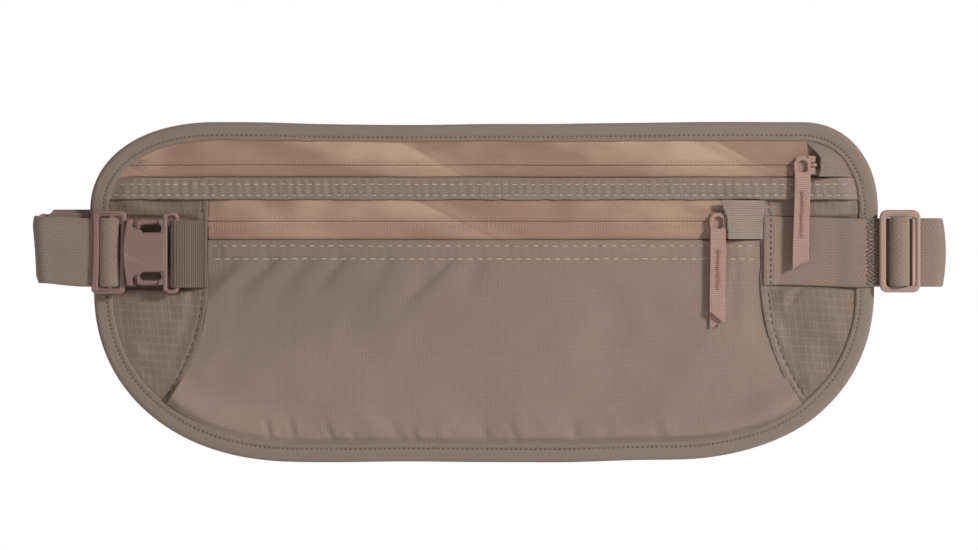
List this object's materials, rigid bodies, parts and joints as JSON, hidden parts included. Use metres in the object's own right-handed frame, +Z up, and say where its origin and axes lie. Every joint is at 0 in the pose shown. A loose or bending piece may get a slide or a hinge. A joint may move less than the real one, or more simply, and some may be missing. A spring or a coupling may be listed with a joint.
{
  "type": "money belt",
  "caption": "Flat money belt with zipped pockets one behind the other, a bound edge, ribbon zip pulls and an elastic waist strap with a side-release buckle and a slide adjuster.",
  "frame": {"origin": "on the waist face, the rear face of the strap's outer run, at the strap's centre line and the middle of the pouch's width", "axes": "+X to the right as seen from the front, +Y out of the waist face towards the wearer, so the front faces -Y, and +Z up"},
  "size_m": [0.3376, 0.0135, 0.1261],
  "materials": {
    "wicking_mesh": "fine knitted wicking mesh",
    "lining": "thin plain-woven lining",
    "ripstop": "light nylon ripstop with a slight sheen",
    "wing_ripstop": "light nylon ripstop with a visible grid",
    "binding_tape": "smooth woven binding tape",
    "zip_tape": "twill zip tape",
    "zip_coil": "moulded polyester coil",
    "grosgrain": "ribbed grosgrain",
    "slider_metal": "satin baked enamel",
    "pull_ribbon": "narrow ribbed ribbon",
    "buckle_plastic": "fine-grained moulded acetal",
    "adjuster_plastic": "fine-grained moulded acetal",
    "elastic": "soft knitted elastic webbing"
  },
  "bodies": {
    "pouch": {"back_panel": "wicking_mesh", "pocket_divider": "lining", "left_wing": "wing_ripstop", "right_wing": "wing_ripstop", "front_panel": "ripstop", "divider_strip": "ripstop", "edge_binding": "binding_tape", "upper_zip_tape_top": "zip_tape", "upper_zip_tape_bottom": "zip_tape", "upper_zip_coil_top": "zip_coil", "upper_zip_coil_bottom": "zip_coil", "upper_zip_tab": "grosgrain", "lower_zip_tape_top": "zip_tape", "lower_zip_tape_bottom": "zip_tape", "lower_zip_coil_top": "zip_coil", "lower_zip_coil_bottom": "zip_coil", "lower_zip_tab": "grosgrain", "buckle_web_loop": "grosgrain", "buckle_socket": "buckle_plastic", "strap_front_run": "elastic", "strap_right_fold": "elastic", "strap_outer_run": "elastic", "strap_inner_run": "elastic"},
    "upper_slider": {"upper_slider": "slider_metal"},
    "upper_puller": {"upper_puller": "slider_metal"},
    "upper_ribbon": {"upper_pull_ribbon": "pull_ribbon"},
    "lower_slider": {"lower_slider": "slider_metal"},
    "lower_puller": {"lower_puller": "slider_metal"},
    "lower_ribbon": {"lower_pull_ribbon": "pull_ribbon"},
    "plug": {"buckle_plug": "buckle_plastic", "strap_left_fold": "elastic"},
    "latch_upper": {"latch_upper": "buckle_plastic"},
    "latch_lower": {"latch_lower": "buckle_plastic"},
    "adjuster": {"adjuster": "adjuster_plastic", "strap_adjuster_hump": "elastic", "strap_tail": "elastic"}
  },
  "joints": [
    {"name": "upper_zip_slide", "type": "slide", "parent": "pouch", "child": "upper_slider", "axis": [-1, 0, 0], "range_m": [0, 0.2], "deforming": ["upper_pull_ribbon"]},
    {"name": "upper_puller_lift", "type": "hinge", "parent": "upper_slider", "child": "upper_puller", "pos_m": [0.122, -0.0085, 0.0323], "axis": [0, 0, 1], "range_deg": [0, 90]},
    {"name": "upper_ribbon_swing", "type": "hinge", "parent": "upper_puller", "child": "upper_ribbon", "pos_m": [0.1177, -0.00885, 0.02895], "axis": [-1, 0, 0], "range_deg": [0, 110]},
    {"name": "lower_zip_slide", "type": "slide", "parent": "pouch", "child": "lower_slider", "axis": [-1, 0, 0], "range_m": [0, 0.18]},
    {"name": "lower_puller_lift", "type": "hinge", "parent": "lower_slider", "child": "lower_puller", "pos_m": [0.0908, -0.0085, 0.0115], "axis": [0, 0, 1], "range_deg": [0, 25]},
    {"name": "lower_ribbon_swing", "type": "hinge", "parent": "lower_puller", "child": "lower_ribbon", "pos_m": [0.0865, -0.00885, 0.00815], "axis": [-1, 0, 0], "range_deg": [0, 110]},
    {"name": "buckle_release", "type": "slide", "parent": "pouch", "child": "plug", "axis": [-1, 0, 0], "range_m": [0, 0.016], "deforming": ["latch_upper", "latch_lower"]},
    {"name": "latch_upper_squeeze", "type": "hinge", "parent": "plug", "child": "latch_upper", "pos_m": [-0.1321, -0.01035, 0.0085], "axis": [0, 1, 0], "range_deg": [0, 18], "stiffness_Nm_per_rad": 0.2},
    {"name": "latch_lower_squeeze", "type": "hinge", "parent": "plug", "child": "latch_lower", "pos_m": [-0.1321, -0.01035, -0.0085], "axis": [0, -1, 0], "range_deg": [0, 18], "stiffness_Nm_per_rad": 0.2},
    {"name": "adjuster_slide", "type": "slide", "parent": "pouch", "child": "adjuster", "axis": [1, 0, 0], "range_m": [0, 0.005], "deforming": ["strap_right_fold"]}
  ]
}
